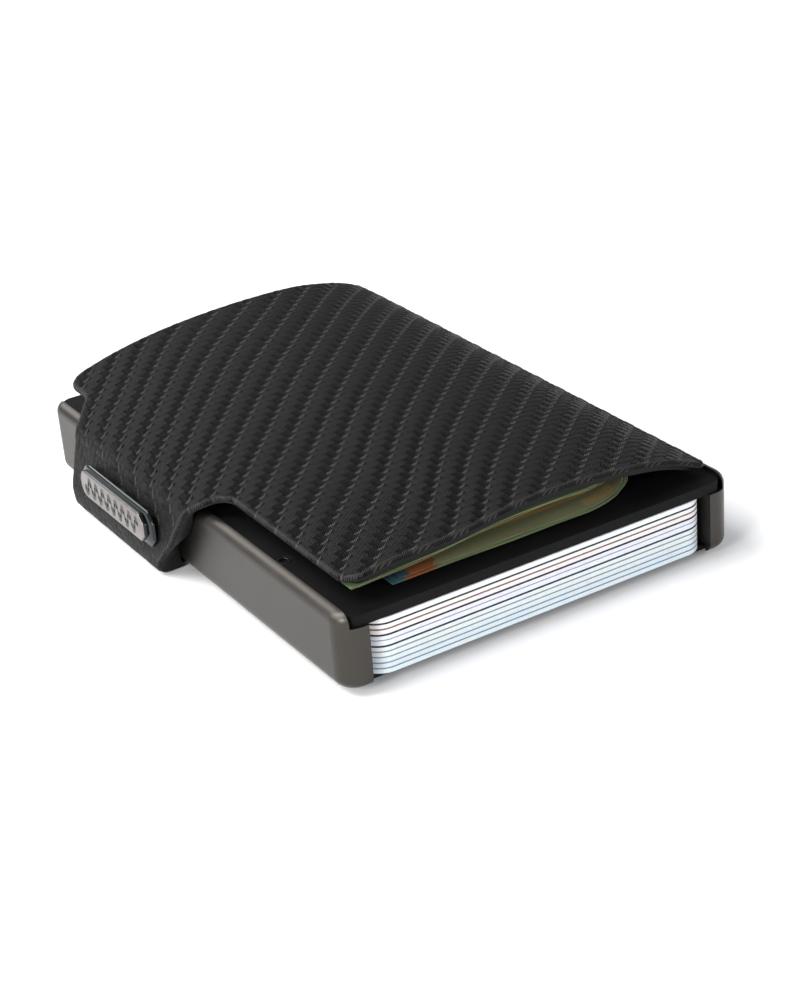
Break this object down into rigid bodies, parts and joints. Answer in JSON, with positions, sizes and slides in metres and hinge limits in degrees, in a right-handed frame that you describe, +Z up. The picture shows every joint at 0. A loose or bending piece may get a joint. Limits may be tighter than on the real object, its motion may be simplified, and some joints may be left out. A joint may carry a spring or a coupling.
{
  "type": "slim card wallet",
  "caption": "Slim card wallet: metal rails and black plates hold a card stack open at the front; a twill-embossed leather wrap folds over folded notes in a clip.",
  "frame": {"origin": "middle of the footprint, on the surface that the wallet lies on", "axes": "+Y from the card mouth to the back, +X from the spine to the flap's free edge, +Z up"},
  "size_m": [0.0676, 0.0882, 0.0201],
  "materials": {
    "gunmetal": "satin bead-blasted anodising",
    "black_plate": "matt black",
    "screw_steel": "plain",
    "spring_steel": "rolled",
    "twill_leather": "black, embossed with a twill pattern",
    "lining_leather": "smooth black",
    "core_board": "plain",
    "badge_metal": "satin with engraved ornament",
    "badge_edge": "polished dark",
    "card_white": "smooth",
    "note_paper": "printed paper"
  },
  "bodies": {
    "root": {"left_rail": "gunmetal", "right_rail": "gunmetal", "top_plate": "black_plate", "bottom_plate": "black_plate", "rear_bridge": "black_plate", "top_screws": "screw_steel", "bottom_screws": "screw_steel", "spring_rivets": "screw_steel", "left_spring": "spring_steel", "right_spring": "spring_steel", "spine_leather": "twill_leather", "back_leather": "twill_leather", "badge_plate": "badge_metal", "badge_backing": "badge_edge", "badge_pins": "screw_steel", "clip_base": "spring_steel", "clip_rivets": "screw_steel"},
    "flap": {"flap_leather": "twill_leather", "flap_core": "core_board", "flap_lining": "lining_leather"},
    "clip": {"clip_arm": "spring_steel"},
    "note_outer": {"note_outer": "note_paper"},
    "note_inner": {"note_inner": "note_paper"},
    "card_01": {"card_01": "card_white"},
    "card_02": {"card_02": "card_white"},
    "card_03": {"card_03": "card_white"},
    "card_04": {"card_04": "card_white"},
    "card_05": {"card_05": "card_white"},
    "card_06": {"card_06": "card_white"},
    "card_07": {"card_07": "card_white"},
    "card_08": {"card_08": "card_white"},
    "card_09": {"card_09": "card_white"},
    "card_10": {"card_10": "card_white"}
  },
  "joints": [
    {"name": "flap_hinge", "type": "hinge", "parent": "root", "child": "flap", "pos_m": [-0.0289, 0, 0.0141], "axis": [0, -1, 0], "range_deg": [0, 150]},
    {"name": "clip_flex", "type": "hinge", "parent": "root", "child": "clip", "pos_m": [-0.02285, 0, 0.0122], "axis": [0, -1, 0], "range_deg": [0, 0.8], "stiffness_Nm_per_rad": 2},
    {"name": "card_01_slide", "type": "slide", "parent": "root", "child": "card_01", "axis": [0, -1, 0], "range_m": [0, 0.09]},
    {"name": "card_02_slide", "type": "slide", "parent": "root", "child": "card_02", "axis": [0, -1, 0], "range_m": [0, 0.09]},
    {"name": "card_03_slide", "type": "slide", "parent": "root", "child": "card_03", "axis": [0, -1, 0], "range_m": [0, 0.09]},
    {"name": "card_04_slide", "type": "slide", "parent": "root", "child": "card_04", "axis": [0, -1, 0], "range_m": [0, 0.09]},
    {"name": "card_05_slide", "type": "slide", "parent": "root", "child": "card_05", "axis": [0, -1, 0], "range_m": [0, 0.09]},
    {"name": "card_06_slide", "type": "slide", "parent": "root", "child": "card_06", "axis": [0, -1, 0], "range_m": [0, 0.09]},
    {"name": "card_07_slide", "type": "slide", "parent": "root", "child": "card_07", "axis": [0, -1, 0], "range_m": [0, 0.09]},
    {"name": "card_08_slide", "type": "slide", "parent": "root", "child": "card_08", "axis": [0, -1, 0], "range_m": [0, 0.09]},
    {"name": "card_09_slide", "type": "slide", "parent": "root", "child": "card_09", "axis": [0, -1, 0], "range_m": [0, 0.09]},
    {"name": "card_10_slide", "type": "slide", "parent": "root", "child": "card_10", "axis": [0, -1, 0], "range_m": [0, 0.09]},
    {"name": "note_outer_slide", "type": "slide", "parent": "root", "child": "note_outer", "axis": [0, -1, 0], "range_m": [0, 0.085]},
    {"name": "note_inner_slide", "type": "slide", "parent": "root", "child": "note_inner", "axis": [0, -1, 0], "range_m": [0, 0.085]}
  ]
}
